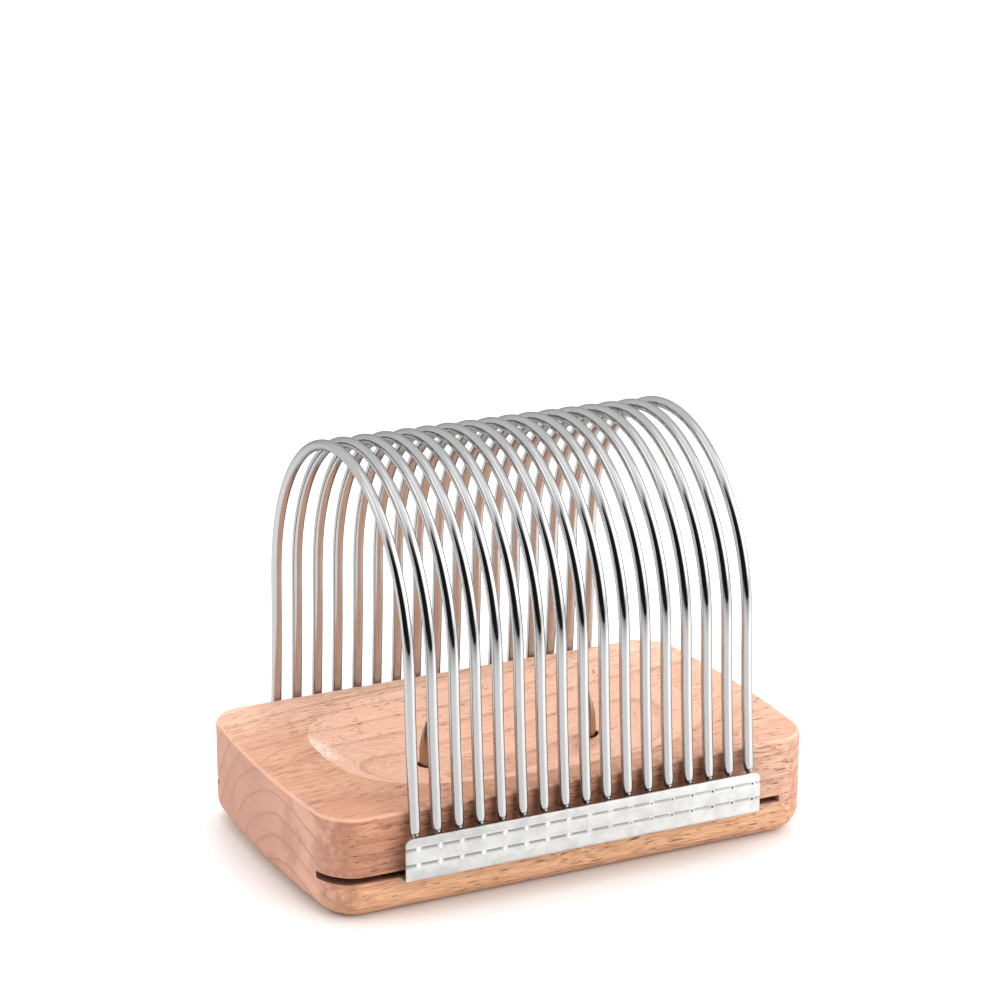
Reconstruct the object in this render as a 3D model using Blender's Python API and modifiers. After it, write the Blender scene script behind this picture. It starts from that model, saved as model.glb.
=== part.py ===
"""Potato slicing guide: a wooden board with two spikes, and a cage of wire arches that slides on it."""
import math

import bmesh
import bpy
from mathutils import Matrix, Vector

# Sizes in metres. The origin is the middle of the board's underside, +X runs along the board and +Z is up.

# Board
BOARD_LENGTH = 0.150
BOARD_WIDTH = 0.0908
BOARD_HEIGHT = 0.0292
CORNER_RADIUS = 0.0104
END_BOW = 0.0028
SIDE_BOW = 0.0002
TOP_ROUND = 0.0013
BOTTOM_ROUND = 0.0068

# Dish in the board's top: a squarish oval hollow
DISH_LENGTH = 0.1124
DISH_WIDTH = 0.0728
DISH_DEPTH = 0.0104
DISH_SQUARENESS = 2.7
DISH_CUT_REACH = 1.12

# Grooves along the board's long sides, open at the left end
GROOVE_FLOOR = 0.0107
GROOVE_DEPTH = 0.0102
GROOVE_PLAY = 0.0010
STOP_TRAVEL = 0.0094

# Spikes
SPIKE_DIAMETER = 0.0042
SPIKE_SPACING = 0.0508
SPIKE_SHIFT = 0.0006
SPIKE_STAND = 0.0130
SPIKE_POINT = 0.0098
SPIKE_SEAT = 0.0090
SPIKE_TIP_RADIUS = 0.0003
SPIKE_CHAMFER = 0.0003
HOLE_RIM = 0.0004
HOLE_RIM_DEPTH = 0.0012

# Wire arches
WIRE_COUNT = 17
WIRE_DIAMETER = 0.0030
SLICE_GAP = 0.0033
SIDE_CLEARANCE = 0.0010
LEG_LEAN = 0.0025
LEG_CURVE = 1.5
LEG_RISE = 0.0356
ARCH_RISE = 0.0507

# Folded plates that carry the wires
SHEET = 0.0006
PLATE_HEIGHT = 0.0122
PLATE_MARGIN = 0.0016
PLATE_SHIFT = -0.0006
PLATE_CORNER = 0.0020
BEND_RADIUS = 0.0003
FLANGE_CLEARANCE = 0.0020
LOWER_ROW = 0.0046
UPPER_ROW_FROM_TOP = 0.0031
DASH_HEIGHT = 0.0009
DASH_DEPTH = 0.0002
WELD_SPOT = 0.0010
DASH_END_MARGIN = 0.0006

# Between pieces that touch
GAP = 0.0003
WELD_DISTANCE = 0.00001

# Worked out from the sizes above
HALF_LENGTH = BOARD_LENGTH / 2
HALF_WIDTH = BOARD_WIDTH / 2
PITCH = WIRE_DIAMETER + SLICE_GAP
WIRE_RADIUS = WIRE_DIAMETER / 2
PLATE_HALF = (WIRE_COUNT - 1) * PITCH / 2 + WIRE_RADIUS + PLATE_MARGIN
PLATE_BOTTOM = GROOVE_FLOOR + GAP
PLATE_TOP = PLATE_BOTTOM + PLATE_HEIGHT
FOOT_Y = HALF_WIDTH + SIDE_CLEARANCE + WIRE_RADIUS
FOOT_Z = PLATE_BOTTOM + SHEET + GAP
SPRING_Y = FOOT_Y - LEG_LEAN
SPRING_Z = BOARD_HEIGHT + LEG_RISE
PLATE_FACE = FOOT_Y + WIRE_RADIUS + GAP + SHEET

# Fineness of the round shapes
CORNER_STEPS = 8
SIDE_STEPS = 8
TOP_SEGMENTS = 3
BOTTOM_SEGMENTS = 5
DISH_STEPS = 56
DISH_RINGS = 9
SPIKE_STEPS = 20
POINT_STEPS = 8
LEG_STEPS = 5
ARCH_STEPS = 18
WIRE_SEGMENTS = 2
BEND_STEPS = 4
PLATE_CORNER_SEGMENTS = 5

WOOD_COLOR = (0.80, 0.55, 0.40)
WIRE_COLOR = (0.78, 0.78, 0.77)
PLATE_COLOR = (0.82, 0.81, 0.80)
SPIKE_COLOR = (0.60, 0.58, 0.56)


def clear_scene():
    for item in list(bpy.data.objects):
        bpy.data.objects.remove(item, do_unlink=True)


def new_collection(name):
    collection = bpy.data.collections.new(name)
    bpy.context.scene.collection.children.link(collection)
    return collection


def material(name, color, roughness, metallic):
    made = bpy.data.materials.new(name)
    made.use_nodes = True
    shader = made.node_tree.nodes["Principled BSDF"]
    shader.inputs["Base Color"].default_value = (*color, 1.0)
    shader.inputs["Roughness"].default_value = roughness
    shader.inputs["Metallic"].default_value = metallic
    return made


def place(name, data, collection, finish=None, parent=None):
    piece = bpy.data.objects.new(name, data)
    collection.objects.link(piece)
    if finish is not None and finish.name not in data.materials:
        data.materials.append(finish)
    piece.parent = parent
    return piece


def hide_cutter(cutter):
    cutter.hide_render = True
    cutter.display_type = "WIRE"
    return cutter


def cut(piece, cutter):
    boolean = piece.modifiers.new("cut " + cutter.name, "BOOLEAN")
    boolean.operation = "DIFFERENCE"
    boolean.solver = "EXACT"
    boolean.object = cutter


def mesh_of(source):
    """The evaluated mesh of an object that is then removed, with loose caps closed."""
    graph = bpy.context.evaluated_depsgraph_get()
    mesh = bpy.data.meshes.new_from_object(source.evaluated_get(graph))
    data = bmesh.new()
    data.from_mesh(mesh)
    bmesh.ops.remove_doubles(data, verts=data.verts, dist=WELD_DISTANCE)
    data.to_mesh(mesh)
    data.free()
    bpy.data.objects.remove(source, do_unlink=True)
    return mesh


def extruded(name, outline, thickness):
    """A flat outline given half its thickness on each side of its plane."""
    curve = bpy.data.curves.new(name, "CURVE")
    curve.dimensions = "2D"
    curve.fill_mode = "BOTH"
    curve.extrude = thickness / 2
    spline = curve.splines.new("POLY")
    spline.points.add(len(outline) - 1)
    for point, (x, y) in zip(spline.points, outline):
        point.co = (x, y, 0.0, 1.0)
    spline.use_cyclic_u = True
    source = bpy.data.objects.new(name, curve)
    cutters.objects.link(source)
    return mesh_of(source)


def turned(name, profile, steps, collection):
    """A profile of (radius, height) points, from top to bottom, turned about Z."""
    mesh = bpy.data.meshes.new(name)
    rings = [(radius, 0.0, height) for radius, height in profile]
    mesh.from_pydata(rings, [(k, k + 1) for k in range(len(rings) - 1)], [])
    piece = place(name, mesh, collection)
    screw = piece.modifiers.new("turn", "SCREW")
    screw.axis = "Z"
    screw.steps = steps
    screw.render_steps = steps
    screw.use_merge_vertices = True
    screw.merge_threshold = WELD_DISTANCE
    screw.use_smooth_shade = True
    return piece


def mirrored(mesh):
    """A copy of a mesh on the other side of the XZ plane, with its faces still pointing out."""
    copy = mesh.copy()
    copy.transform(Matrix.Scale(-1.0, 4, (0.0, 1.0, 0.0)))
    copy.flip_normals()
    return copy


def box(name, low, high):
    low, high = Vector(low), Vector(high)
    size = high - low
    mesh = bpy.data.meshes.new(name)
    data = bmesh.new()
    middle = Matrix.Translation((low + high) / 2)
    bmesh.ops.create_cube(data, size=1.0, matrix=middle @ Matrix.Diagonal((*size, 1.0)))
    data.to_mesh(mesh)
    data.free()
    return mesh


def bowed(x, y):
    """Draws the board's straight sides out into gentle curves."""
    end_drop = END_BOW * (y / HALF_WIDTH) ** 2 * (x / HALF_LENGTH) ** 4
    side_drop = SIDE_BOW * (x / HALF_LENGTH) ** 2 * (y / HALF_WIDTH) ** 4
    return x - math.copysign(end_drop, x), y - math.copysign(side_drop, y)


def board_outline():
    """The board seen from above: four corner arcs joined by slightly bowed sides."""
    corners = [(1, 1), (-1, 1), (-1, -1), (1, -1)]
    arcs = []
    for number, (side_x, side_y) in enumerate(corners):
        centre_x = side_x * (HALF_LENGTH - CORNER_RADIUS)
        centre_y = side_y * (HALF_WIDTH - CORNER_RADIUS)
        for step in range(CORNER_STEPS + 1):
            turn = math.pi / 2 * (number + step / CORNER_STEPS)
            out_x, out_y = CORNER_RADIUS * math.cos(turn), CORNER_RADIUS * math.sin(turn)
            arcs.append((centre_x + out_x, centre_y + out_y))
    outline = []
    for number, (x, y) in enumerate(arcs):
        outline.append(bowed(x, y))
        if number % (CORNER_STEPS + 1) == CORNER_STEPS:
            next_x, next_y = arcs[(number + 1) % len(arcs)]
            for step in range(1, SIDE_STEPS):
                share = step / SIDE_STEPS
                outline.append(bowed(x + (next_x - x) * share, y + (next_y - y) * share))
    return outline


def round_rim(mesh, height, radius, segments):
    """Joins the flat cap at one height into a single face and rounds the edge around it."""
    data = bmesh.new()
    data.from_mesh(mesh)
    cap = [face for face in data.faces
           if all(abs(vert.co.z - height) < WELD_DISTANCE for vert in face.verts)]
    joined = bmesh.ops.dissolve_faces(data, faces=cap)["region"]
    rim = [edge for face in joined for edge in face.edges]
    bmesh.ops.bevel(data, geom=rim, offset=radius, offset_type="OFFSET", segments=segments, profile=0.5,
                    affect="EDGES")
    data.to_mesh(mesh)
    data.free()


def dish_height(x, y):
    """Height of the dish's surface, which carries on above the board's top outside the dish."""
    share_x = abs(x) / (DISH_LENGTH / 2)
    share_y = abs(y) / (DISH_WIDTH / 2)
    reach = (share_x ** DISH_SQUARENESS + share_y ** DISH_SQUARENESS) ** (1 / DISH_SQUARENESS)
    return BOARD_HEIGHT - DISH_DEPTH * (1 - reach ** 2)


def dish_cutter():
    """A turned bowl whose rings are pushed out from circles to the dish's squarish oval."""
    lid = BOARD_HEIGHT + DISH_DEPTH * (DISH_CUT_REACH ** 2 - 1)
    profile = [(0.0, lid), (DISH_CUT_REACH, lid)]
    for ring in range(DISH_RINGS - 1, -1, -1):
        reach = DISH_CUT_REACH * ring / DISH_RINGS
        profile.append((reach, BOARD_HEIGHT - DISH_DEPTH * (1 - reach ** 2)))
    mesh = mesh_of(turned("dish_shape", profile, DISH_STEPS, cutters))
    for vert in mesh.vertices:
        reach = math.hypot(vert.co.x, vert.co.y)
        if reach < WELD_DISTANCE:
            continue
        share_x, share_y = vert.co.x / reach, vert.co.y / reach
        vert.co.x = math.copysign(reach * DISH_LENGTH / 2 * abs(share_x) ** (2 / DISH_SQUARENESS), share_x)
        vert.co.y = math.copysign(reach * DISH_WIDTH / 2 * abs(share_y) ** (2 / DISH_SQUARENESS), share_y)
    return hide_cutter(place("dish_cutter", mesh, cutters))


def groove_cutter(name, side):
    """A square channel that runs out past the board's left end and stops short of its right end."""
    overshoot = CORNER_RADIUS
    stop = PLATE_SHIFT + PLATE_HALF + STOP_TRAVEL
    inner = side * (HALF_WIDTH - GROOVE_DEPTH)
    outer = side * (HALF_WIDTH + overshoot)
    top = PLATE_BOTTOM + SHEET + GROOVE_PLAY
    low = (-HALF_LENGTH - overshoot, min(inner, outer), GROOVE_FLOOR)
    high = (stop, max(inner, outer), top)
    return hide_cutter(place(name, box(name, low, high), cutters))


def spike_x(side):
    return SPIKE_SHIFT + side * SPIKE_SPACING / 2


def spike_floor(side):
    return dish_height(spike_x(side), 0.0)


def hole_cutter(name, side):
    """A blind hole for a spike, with a wider rim where it opens in the dish."""
    hole = SPIKE_DIAMETER / 2 + GAP
    rim = hole + HOLE_RIM
    floor = spike_floor(side)
    mouth = floor + SPIKE_DIAMETER
    ledge = floor - HOLE_RIM_DEPTH
    bottom = floor - SPIKE_SEAT - GAP
    profile = [(0.0, mouth), (rim, mouth), (rim, ledge)]
    profile += [(hole, ledge - HOLE_RIM), (hole, bottom), (0.0, bottom)]
    cutter = turned(name, profile, SPIKE_STEPS, cutters)
    cutter.location.x = spike_x(side)
    return hide_cutter(cutter)


def make_board(finish):
    mesh = extruded("wooden_base", board_outline(), BOARD_HEIGHT)
    mesh.transform(Matrix.Translation((0.0, 0.0, BOARD_HEIGHT / 2)))
    round_rim(mesh, BOARD_HEIGHT, TOP_ROUND, TOP_SEGMENTS)
    round_rim(mesh, 0.0, BOTTOM_ROUND, BOTTOM_SEGMENTS)
    board = place("wooden_base", mesh, parts, finish)
    cut(board, dish_cutter())
    cut(board, groove_cutter("front_groove", -1))
    cut(board, groove_cutter("back_groove", 1))
    cut(board, hole_cutter("left_hole", -1))
    cut(board, hole_cutter("right_hole", 1))
    return board


def spike_profile(side):
    """A straight shank under a pointed arch, from the blunt tip down to the seat."""
    radius = SPIKE_DIAMETER / 2
    tip = spike_floor(side) + SPIKE_STAND
    sweep = (radius ** 2 + SPIKE_POINT ** 2) / (2 * radius)
    profile = [(0.0, tip), (SPIKE_TIP_RADIUS, tip - SPIKE_TIP_RADIUS / 2)]
    for step in range(1, POINT_STEPS + 1):
        drop = SPIKE_POINT * step / POINT_STEPS
        width = math.sqrt(sweep ** 2 - (SPIKE_POINT - drop) ** 2) + radius - sweep
        profile.append((width, tip - drop))
    seat = spike_floor(side) - SPIKE_SEAT
    profile += [(radius, seat + SPIKE_CHAMFER), (radius - SPIKE_CHAMFER, seat), (0.0, seat)]
    return profile


def make_spike(name, side, finish):
    spike = turned(name, spike_profile(side), SPIKE_STEPS, parts)
    spike.data.materials.append(finish)
    spike.location.x = spike_x(side)
    return spike


def plate_section():
    """The folded strip from its end, as (y, z) points: upright outside, flange turned in to the groove."""
    inner_y = HALF_WIDTH - GROOVE_DEPTH + FLANGE_CLEARANCE
    bend_y = PLATE_FACE - SHEET - BEND_RADIUS
    bend_z = PLATE_BOTTOM + SHEET + BEND_RADIUS
    turns = [math.pi / 2 * step / BEND_STEPS for step in range(BEND_STEPS + 1)]
    outer, inner = BEND_RADIUS + SHEET, BEND_RADIUS
    outer_bend = [(-bend_y - outer * math.cos(turn), bend_z - outer * math.sin(turn)) for turn in turns]
    inner_bend = [(-bend_y - inner * math.cos(turn), bend_z - inner * math.sin(turn)) for turn in turns]
    flange_end = [(-inner_y, PLATE_BOTTOM), (-inner_y, PLATE_BOTTOM + SHEET)]
    top = [(-PLATE_FACE + SHEET, PLATE_TOP), (-PLATE_FACE, PLATE_TOP)]
    return outer_bend + flange_end + inner_bend[::-1] + top


def plate_mesh():
    """The front plate's mesh, with its two upper corners rounded."""
    mesh = extruded("plate", plate_section(), 2 * PLATE_HALF)
    lengthwise = Matrix.Rotation(math.pi / 2, 4, "Z") @ Matrix.Rotation(math.pi / 2, 4, "X")
    mesh.transform(Matrix.Translation((PLATE_SHIFT, 0.0, 0.0)) @ lengthwise)
    data = bmesh.new()
    data.from_mesh(mesh)
    bmesh.ops.dissolve_limit(data, angle_limit=math.radians(1), verts=data.verts, edges=data.edges)
    corners = [edge for edge in data.edges
               if all(PLATE_TOP - vert.co.z < WELD_DISTANCE for vert in edge.verts)
               and abs(edge.verts[0].co.x - edge.verts[1].co.x) < WELD_DISTANCE]
    bmesh.ops.bevel(data, geom=corners, offset=PLATE_CORNER, offset_type="OFFSET",
                    segments=PLATE_CORNER_SEGMENTS, profile=0.5, affect="EDGES")
    data.to_mesh(mesh)
    data.free()
    return mesh


def dash_mesh():
    """Two rows of shallow dashes on the front plate, each from one wire's weld spot to the next."""
    mesh = bpy.data.meshes.new("dashes")
    data = bmesh.new()
    left = PLATE_SHIFT - PLATE_HALF + DASH_END_MARGIN
    right = PLATE_SHIFT + PLATE_HALF - DASH_END_MARGIN
    for height in (PLATE_BOTTOM + LOWER_ROW, PLATE_TOP - UPPER_ROW_FROM_TOP):
        for gap in range(WIRE_COUNT + 1):
            start = max(wire_x(gap - 1) + WELD_SPOT / 2, left)
            stop = min(wire_x(gap) - WELD_SPOT / 2, right)
            size = Matrix.Diagonal((stop - start, 2 * DASH_DEPTH, DASH_HEIGHT, 1.0))
            middle = Matrix.Translation(((start + stop) / 2, -PLATE_FACE, height))
            bmesh.ops.create_cube(data, size=1.0, matrix=middle @ size)
    data.to_mesh(mesh)
    data.free()
    return mesh


def make_plates(finish, parent):
    """The front plate, and the back plate as its mirror image across the board's long middle."""
    front = plate_mesh()
    front_dashes = dash_mesh()
    for name, strip, dashes in (("front_plate", front, front_dashes),
                                ("back_plate", mirrored(front), mirrored(front_dashes))):
        plate = place(name, strip, parts, finish, parent)
        cut(plate, hide_cutter(place(name + "_dashes", dashes, cutters, None, parent)))


def wire_x(number):
    return (number - (WIRE_COUNT - 1) / 2) * PITCH


def arch_path():
    """One arch from its front foot to its back foot, as (y, z) points."""
    leg = [(FOOT_Y, FOOT_Z)]
    for step in range(LEG_STEPS + 1):
        share = 1 - step / LEG_STEPS
        height = SPRING_Z - (SPRING_Z - PLATE_TOP) * share
        leg.append((SPRING_Y + LEG_LEAN * share ** LEG_CURVE, height))
    turns = [math.pi * step / ARCH_STEPS for step in range(1, ARCH_STEPS)]
    bow = [(SPRING_Y * math.cos(turn), SPRING_Z + ARCH_RISE * math.sin(turn)) for turn in turns]
    half = [(-y, z) for y, z in leg]
    return half + [(-y, z) for y, z in bow] + leg[::-1]


def make_wires(finish, parent):
    curve = bpy.data.curves.new("wire_arch", "CURVE")
    curve.dimensions = "3D"
    curve.bevel_depth = WIRE_RADIUS
    curve.bevel_resolution = WIRE_SEGMENTS
    curve.use_fill_caps = True
    path = arch_path()
    spline = curve.splines.new("POLY")
    spline.points.add(len(path) - 1)
    for point, (y, z) in zip(spline.points, path):
        point.co = (0.0, y, z, 1.0)
    for number in range(WIRE_COUNT):
        wire = place("wire_arch_%02d" % (number + 1), curve, parts, finish, parent)
        wire.location.x = wire_x(number)


clear_scene()
parts = new_collection("potato_slicing_guide")
cutters = new_collection("cutters")

make_board(material("pale_wood", WOOD_COLOR, 0.55, 0.0))
spike_steel = material("spike_steel", SPIKE_COLOR, 0.25, 1.0)
make_spike("spike_left", -1, spike_steel)
make_spike("spike_right", 1, spike_steel)

cage = bpy.data.objects.new("cage_slide", None)
parts.objects.link(cage)
make_plates(material("satin_steel", PLATE_COLOR, 0.35, 1.0), cage)
make_wires(material("polished_steel", WIRE_COLOR, 0.15, 1.0), cage)
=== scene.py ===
import math

import bmesh
import bpy
from mathutils import Matrix, Vector


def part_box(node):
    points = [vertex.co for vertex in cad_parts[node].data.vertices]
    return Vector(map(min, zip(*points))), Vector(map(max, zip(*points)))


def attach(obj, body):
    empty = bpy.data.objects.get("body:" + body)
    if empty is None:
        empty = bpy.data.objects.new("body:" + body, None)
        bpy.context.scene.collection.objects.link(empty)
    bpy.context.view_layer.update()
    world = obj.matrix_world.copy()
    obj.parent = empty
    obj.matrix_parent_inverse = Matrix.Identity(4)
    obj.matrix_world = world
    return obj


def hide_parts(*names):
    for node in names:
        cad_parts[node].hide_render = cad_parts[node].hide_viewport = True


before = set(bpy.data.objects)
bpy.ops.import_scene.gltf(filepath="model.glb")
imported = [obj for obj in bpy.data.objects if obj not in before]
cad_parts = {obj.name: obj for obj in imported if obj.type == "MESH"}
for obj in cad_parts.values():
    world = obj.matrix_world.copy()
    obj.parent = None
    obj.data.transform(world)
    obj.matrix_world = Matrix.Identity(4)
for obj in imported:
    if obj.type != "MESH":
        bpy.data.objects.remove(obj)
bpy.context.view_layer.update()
scene = bpy.context.scene


# Camera and studio

camera = {
    "place": (-0.3505, -0.7081, 0.3388),
    "aim": (-0.0017, 0.0008, 0.0946),
    "lensMm": 108.4,
    "sensorMm": 36.0,
}

studio = {
    "tableRadius": 3.0,
    "tableMiddle": (1.03, 2.11, -0.0001),     # just under the board, which keeps clear of the table's plane
    "tableSides": 160,
    "tableColor": (0.80, 0.80, 0.80),
    "tableSeen": (0.94, 0.94, 0.94),          # the same where the camera sees it
    "tableRoughness": 0.32,
    "tableIor": 1.5,
    "roomLight": 0.95,          # brightness of the plain room behind the lamps
    "seenRoom": 1.1,            # the same where the camera sees it past the table
    "softEdge": 6.0,            # degrees over which a lamp's edge fades
    # Heading of the middle from the front, half its width, lowest and highest edge in degrees, and brightness
    "lamps": {
        "rightFront": (43.0, 51.0, 2.0, 55.0, 1.15),
        "leftRear": (-107.0, 13.0, 20.0, 46.0, 0.85),
        "rightSide": (76.0, 22.0, 4.0, 54.0, 0.5),
        "overhead": (0.0, 180.0, 64.0, 96.0, 0.45),
    },
    # The room's unlit side, between headings that lean with the height, and fading out above
    "darkSide": {
        "left": -87.0, "leftLean": 1.2, "leanFrom": 28.0, "leftSoft": 3.0,
        "right": 22.0, "rightLean": 0.5, "rightSoft": 14.0,
        "fadeFrom": 37.0, "fadeTo": 71.0, "depth": 0.985,
    },
    # Metres from the middle over which the table's colour darkens towards that side, a painted shade, and its
    # share of light left there
    "tableShadeFade": (0.22, 1.0, 0.12),
    # Soft boxes that light the wood and stay out of the metal's reflections
    "sideBox": {"place": (-1.15, -0.25, 0.95), "aim": (0.0, 0.0, 0.03), "size": 1.2, "watts": 4.5},
    "topBox": {"place": (0.30, 0.50, 1.25), "aim": (0.0, 0.0, 0.03), "size": 1.1, "watts": 9.0},
    "frontBox": {"place": (0.20, -1.20, 0.60), "aim": (0.0, 0.0, 0.03), "size": 0.9, "watts": 4.5},
    # A pool of light on the table at the right, which the legs mirror as their bright side
    "floorPool": {"place": (0.55, -0.75, 0.90), "aim": (0.19, -0.22, 0.0), "degrees": 16.0, "watts": 38.0},
}


def newObject(name, data):
    made = bpy.data.objects.new(name, data)
    scene.collection.objects.link(made)
    return made


# A mesh object from an edited mesh, which is freed
def meshObject(name, edited):
    mesh = bpy.data.meshes.new(name)
    edited.to_mesh(mesh)
    edited.free()
    return newObject(name, mesh)


def aimObject(made, values):
    place, aim = Vector(values["place"]), Vector(values["aim"])
    made.location = place
    made.rotation_euler = (aim - place).to_track_quat("-Z", "Y").to_euler()


def makeCamera():
    made = newObject("camera", bpy.data.cameras.new("camera"))
    aimObject(made, camera)
    made.data.lens = camera["lensMm"]
    made.data.sensor_width = camera["sensorMm"]
    made.data.clip_start = 0.01
    scene.camera = made


# Node helpers, used for every tree below

nodeGap = (220, -260)
nodesInRow = 12


def addNode(tree, kind, inputs=None, **settings):
    made = tree.nodes.new(kind)
    row, column = divmod(len(tree.nodes), nodesInRow)
    made.location = (nodeGap[0] * column, nodeGap[1] * row)
    for name, value in settings.items():
        setattr(made, name, value)
    for name, value in (inputs or {}).items():
        if isinstance(value, bpy.types.NodeSocket):
            tree.links.new(value, made.inputs[name])
        else:
            made.inputs[name].default_value = value
    return made


def calc(tree, operation, *values, clamp=False):
    kind = "ShaderNodeMath"
    return addNode(tree, kind, dict(enumerate(values)), operation=operation, use_clamp=clamp).outputs[0]


def times(tree, first, second):
    return calc(tree, "MULTIPLY", first, second)


def timesPlus(tree, first, second, added):
    return calc(tree, "MULTIPLY_ADD", first, second, added)


def minus(tree, first, second):
    return calc(tree, "SUBTRACT", first, second)


def smoothStep(tree, value, low, high, start=0.0, end=1.0):
    inputs = {"Value": value, "From Min": low, "From Max": high, "To Min": start, "To Max": end}
    return addNode(tree, "ShaderNodeMapRange", inputs, interpolation_type="SMOOTHSTEP").outputs["Result"]


def axesOf(tree, vector):
    return addNode(tree, "ShaderNodeSeparateXYZ", {0: vector}).outputs


def vectorOf(tree, x=0.0, y=0.0, z=0.0):
    return addNode(tree, "ShaderNodeCombineXYZ", {"X": x, "Y": y, "Z": z}).outputs[0]


def noiseAt(tree, place, scale, detail):
    return addNode(tree, "ShaderNodeTexNoise", {"Vector": place, "Scale": scale, "Detail": detail}).outputs


def mixColor(tree, share, first, second):
    sides = [value if isinstance(value, bpy.types.NodeSocket) else (*value, 1.0) for value in (first, second)]
    return addNode(tree, "ShaderNodeMix", {0: share, 6: sides[0], 7: sides[1]}, data_type="RGBA").outputs[2]


# A number gives an input its kind and its default, and a word names the kind of one without a default
def newGroup(name, kind, inputs, outputs):
    tree = bpy.data.node_groups.new(name, kind)
    for label, value in inputs.items():
        word = value if isinstance(value, str) else {int: "Int", float: "Float"}[type(value)]
        socket = tree.interface.new_socket(label, in_out="INPUT", socket_type="NodeSocket" + word)
        if word != value:
            socket.default_value = value
    for label, word in outputs.items():
        tree.interface.new_socket(label, in_out="OUTPUT", socket_type="NodeSocket" + word)
    start = tree.nodes.new("NodeGroupInput")
    end = tree.nodes.new("NodeGroupOutput")
    return tree, start.outputs, end.inputs


def useGroup(tree, group, inputs):
    return addNode(tree, "ShaderNodeGroup", inputs, node_tree=group).outputs


def newMaterial(name, roughness, metallic):
    made = bpy.data.materials.new(name)
    made.use_nodes = True
    shader = made.node_tree.nodes["Principled BSDF"]
    shader.inputs["Roughness"].default_value = roughness
    shader.inputs["Metallic"].default_value = metallic
    return made, made.node_tree, shader


# How far a direction lies inside a patch of the room, from 0 outside to 1 inside, with soft edges
def patchMask(tree, heading, height, middle, halfWidth, low, high, soft):
    turn = calc(tree, "WRAP", minus(tree, heading, middle), 180.0, -180.0)
    across = smoothStep(tree, calc(tree, "ABSOLUTE", turn), halfWidth - soft, halfWidth + soft, 1.0, 0.0)
    above = smoothStep(tree, height, low - soft, low + soft)
    below = smoothStep(tree, height, high - soft, high + soft, 1.0, 0.0)
    return times(tree, across, times(tree, above, below))


# The same for the room's unlit side
def darkSideMask(tree, heading, height):
    side = studio["darkSide"]
    raised = calc(tree, "MAXIMUM", minus(tree, height, side["leanFrom"]), 0.0)
    left = timesPlus(tree, raised, side["leftLean"], side["left"])
    right = timesPlus(tree, calc(tree, "MAXIMUM", height, 0.0), -side["rightLean"], side["right"])
    fromLeft = smoothStep(tree, minus(tree, heading, left), -side["leftSoft"], side["leftSoft"])
    fromRight = smoothStep(tree, minus(tree, right, heading), -side["rightSoft"], side["rightSoft"])
    under = smoothStep(tree, height, side["fadeTo"], side["fadeFrom"])
    return times(tree, under, times(tree, fromLeft, fromRight))


def headingOf(tree, axes):
    return calc(tree, "DEGREES", calc(tree, "ARCTAN2", axes["X"], times(tree, axes["Y"], -1.0)))


def makeRoom():
    world = bpy.data.worlds.new("studio")
    world.use_nodes = True
    scene.world = world
    tree = world.node_tree
    backdrop = tree.nodes["Background"]
    backdrop.inputs["Color"].default_value = (1.0, 1.0, 1.0, 1.0)
    direction = addNode(tree, "ShaderNodeTexCoord").outputs["Generated"]
    axes = axesOf(tree, direction)
    heading = headingOf(tree, axes)
    height = calc(tree, "DEGREES", calc(tree, "ARCSINE", axes["Z"]))
    light = studio["roomLight"]
    for middle, halfWidth, low, high, brightness in studio["lamps"].values():
        mask = patchMask(tree, heading, height, middle, halfWidth, low, high, studio["softEdge"])
        light = timesPlus(tree, mask, brightness, light)
    mask = times(tree, darkSideMask(tree, heading, height), -studio["darkSide"]["depth"])
    light = times(tree, light, calc(tree, "ADD", mask, 1.0))
    seen = addNode(tree, "ShaderNodeLightPath").outputs["Is Camera Ray"]
    shown = addNode(tree, "ShaderNodeMix", {0: seen, 2: light, 3: studio["seenRoom"]}, data_type="FLOAT")
    tree.links.new(shown.outputs[0], backdrop.inputs["Strength"])


def makeTable():
    data = bmesh.new()
    bmesh.ops.create_circle(data, cap_ends=True, radius=studio["tableRadius"], segments=studio["tableSides"])
    table = meshObject("table", data)
    table.data.transform(Matrix.Translation(studio["tableMiddle"]))
    finish, tree, shader = newMaterial("paleTable", studio["tableRoughness"], 0.0)
    shader.inputs["IOR"].default_value = studio["tableIor"]
    place = addNode(tree, "ShaderNodeTexCoord").outputs["Object"]
    axes = axesOf(tree, place)
    reach = addNode(tree, "ShaderNodeVectorMath", {0: place}, operation="LENGTH").outputs["Value"]
    # Painted shade: the table darkens towards the room's unlit side
    near, far, left = studio["tableShadeFade"]
    tableShade = smoothStep(tree, calc(tree, "LOGARITHM", reach, math.e), math.log(near), math.log(far))
    tableShade = times(tree, tableShade, darkSideMask(tree, headingOf(tree, axes), 0.0))
    color = mixColor(tree, tableShade, studio["tableColor"], [left * part for part in studio["tableColor"]])
    seen = addNode(tree, "ShaderNodeLightPath").outputs["Is Camera Ray"]
    color = mixColor(tree, seen, color, studio["tableSeen"])
    tree.links.new(color, shader.inputs["Base Color"])
    table.data.materials.append(finish)


def makeLamp(name, kind):
    values = studio[name]
    light = bpy.data.lights.new(name, kind)
    light.energy = values["watts"]
    if kind == "AREA":
        light.size = values["size"]
    else:
        light.spot_size = math.radians(values["degrees"])
        light.spot_blend = 1.0
    made = newObject(name, light)
    aimObject(made, values)
    made.visible_glossy = False


makeCamera()
makeRoom()
makeTable()
for name in ("sideBox", "topBox", "frontBox"):
    makeLamp(name, "AREA")
makeLamp("floorPool", "SPOT")
scene.view_settings.view_transform = "Standard"
print("camera and studio ready")


# Shared effects

mm = 1000.0            # millimetres in a metre
nearZero = 0.00001     # metres


def stretched(tree, place, scale):
    return addNode(tree, "ShaderNodeMapping", {"Vector": place, "Scale": scale}).outputs[0]


def inMillimetres(tree, place):
    return stretched(tree, place, (mm, mm, mm))


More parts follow.
